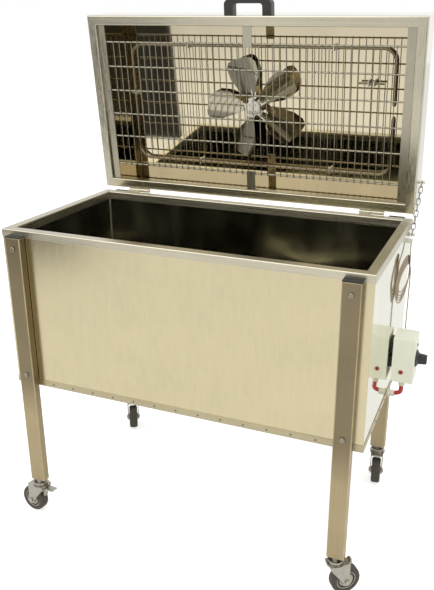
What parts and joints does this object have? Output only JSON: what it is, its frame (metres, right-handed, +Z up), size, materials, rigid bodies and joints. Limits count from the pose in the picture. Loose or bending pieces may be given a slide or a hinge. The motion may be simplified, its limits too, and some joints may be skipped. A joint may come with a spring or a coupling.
{
  "type": "wax melter",
  "caption": "Insulated stainless tank on castored legs with a deep hinged lid holding a fan, heater loop and guard, and a side control box.",
  "frame": {"origin": "on the floor, under the centre of the tank", "axes": "+Z up, +X to the right seen from the front, -Y towards the front; the lid stands open at the back"},
  "size_m": [1.1135, 0.7348, 1.4583],
  "materials": {
    "stainless": "brushed, warm reflections",
    "panel": "polished sheet",
    "frame_steel": "ground channel",
    "leg_steel": "brushed tube",
    "zinc": "bright zinc plate",
    "tyre": "grey rubber",
    "hub": "grey nylon",
    "black": "satin",
    "handle": "satin",
    "wool": "mineral wool",
    "motor": "black paint",
    "galvanised": "galvanised",
    "heater": "heat-darkened tube",
    "fan": "pressed sheet",
    "copper": "bare bulb",
    "box": "light grey moulding",
    "gland": "white nylon",
    "lamp": "red lens",
    "red_cable": "silicone sheath",
    "grey_cable": "soft sheath",
    "chain": "plated wire"
  },
  "bodies": {
    "chest": {"tank_rim": "frame_steel", "front_panel": "stainless", "body_wrap": "panel", "bottom_pan": "stainless", "shell_rivets": "zinc", "tank_liner": "stainless", "chest_insulation": "wool", "leg_fl": "leg_steel", "leg_fr": "leg_steel", "leg_rl": "leg_steel", "leg_rr": "leg_steel", "leg_plugs": "black", "leg_bolts": "zinc", "castor_heads": "zinc", "hinge_leaves_chest": "galvanised", "box_blocks": "black", "control_box": "box", "control_cover": "box", "thermostat": "black", "indicator_lamps": "lamp", "cable_glands": "gland", "heater_lead": "red_cable", "chest_screws": "zinc", "lead_boots": "gland", "sensor_coil": "grey_cable", "sensor_lead_upper": "grey_cable", "sensor_lead_lower": "grey_cable"},
    "lid": {"lid_shell": "panel", "lid_frame": "frame_steel", "lid_liner": "stainless", "lid_insulation": "wool", "lid_handle": "handle", "lid_screws": "zinc", "hinge_leaves_lid": "galvanised", "fan_motor": "motor", "motor_cover": "galvanised", "heating_element": "heater", "element_clips": "galvanised", "sensor_bulb": "copper", "guard_grille": "zinc", "guard_rails": "stainless"},
    "fan": {"fan_hub": "fan", "fan_blades": "fan"},
    "knob": {"thermostat_knob": "black"},
    "chain_low": {"chain_lower": "chain"},
    "chain_high": {"chain_upper": "chain"},
    "fork_fl": {"castor_fork_fl": "zinc"},
    "wheel_fl": {"castor_wheel_fl": "hub", "castor_tyre_fl": "tyre"},
    "pedal_fl": {"brake_pedal_fl": "zinc"},
    "fork_fr": {"castor_fork_fr": "zinc"},
    "wheel_fr": {"castor_wheel_fr": "hub", "castor_tyre_fr": "tyre"},
    "pedal_fr": {"brake_pedal_fr": "zinc"},
    "fork_rl": {"castor_fork_rl": "zinc"},
    "wheel_rl": {"castor_wheel_rl": "hub", "castor_tyre_rl": "tyre"},
    "fork_rr": {"castor_fork_rr": "zinc"},
    "wheel_rr": {"castor_wheel_rr": "hub", "castor_tyre_rr": "tyre"}
  },
  "joints": [
    {"name": "lid_hinge", "type": "hinge", "parent": "chest", "child": "lid", "pos_m": [0, 0.27, 0.882], "axis": [1, 0, 0], "range_deg": [0, 83.93]},
    {"name": "fan_spin", "type": "hinge", "parent": "lid", "child": "fan", "pos_m": [0, 0.3031, 1.15704], "axis": [0, 0.9944, 0.1057], "continuous": true},
    {"name": "knob_turn", "type": "hinge", "parent": "chest", "child": "knob", "pos_m": [0.5646, 0.086, 0.532], "axis": [1, 0, 0], "range_deg": [-270, 0]},
    {"name": "chain_low_swing", "type": "hinge", "parent": "chest", "child": "chain_low", "pos_m": [0.508, 0.204, 0.847], "axis": [1, 0, 0], "range_deg": [-41, 0]},
    {"name": "chain_high_swing", "type": "hinge", "parent": "lid", "child": "chain_high", "pos_m": [0.508, 0.32188, 0.97098], "axis": [1, 0, 0], "range_deg": [-4, 0]},
    {"name": "swivel_fl", "type": "hinge", "parent": "chest", "child": "fork_fl", "pos_m": [-0.4515, -0.275, 0.09], "axis": [0, 0, 1], "continuous": true},
    {"name": "roll_fl", "type": "hinge", "parent": "fork_fl", "child": "wheel_fl", "pos_m": [-0.47923, -0.2711, 0.04], "axis": [0.1392, 0.9903, 0], "continuous": true},
    {"name": "brake_fl", "type": "hinge", "parent": "fork_fl", "child": "pedal_fl", "pos_m": [-0.43566, -0.27723, 0.0865], "axis": [0.1392, 0.9903, 0], "range_deg": [0, 18]},
    {"name": "swivel_fr", "type": "hinge", "parent": "chest", "child": "fork_fr", "pos_m": [0.4515, -0.275, 0.09], "axis": [0, 0, 1], "continuous": true},
    {"name": "roll_fr", "type": "hinge", "parent": "fork_fr", "child": "wheel_fr", "pos_m": [0.47326, -0.25738, 0.04], "axis": [0.6293, -0.7771, 0], "continuous": true},
    {"name": "brake_fr", "type": "hinge", "parent": "fork_fr", "child": "pedal_fr", "pos_m": [0.47481, -0.25612, 0.0885], "axis": [0.6293, -0.7771, 0], "range_deg": [-18, 0]},
    {"name": "swivel_rl", "type": "hinge", "parent": "chest", "child": "fork_rl", "pos_m": [-0.4515, 0.275, 0.09], "axis": [0, 0, 1], "continuous": true},
    {"name": "roll_rl", "type": "hinge", "parent": "fork_rl", "child": "wheel_rl", "pos_m": [-0.4375, 0.25075, 0.04], "axis": [-0.866, -0.5, 0], "continuous": true},
    {"name": "swivel_rr", "type": "hinge", "parent": "chest", "child": "fork_rr", "pos_m": [0.4515, 0.275, 0.09], "axis": [0, 0, 1], "continuous": true},
    {"name": "roll_rr", "type": "hinge", "parent": "fork_rr", "child": "wheel_rr", "pos_m": [0.45588, 0.24735, 0.04], "axis": [-0.9877, -0.1564, 0], "continuous": true}
  ],
  "couplings": [
    {"joint": "chain_low_swing", "follows": "lid_hinge", "ratio": -0.48},
    {"joint": "chain_high_swing", "follows": "lid_hinge", "ratio": -0.04}
  ]
}
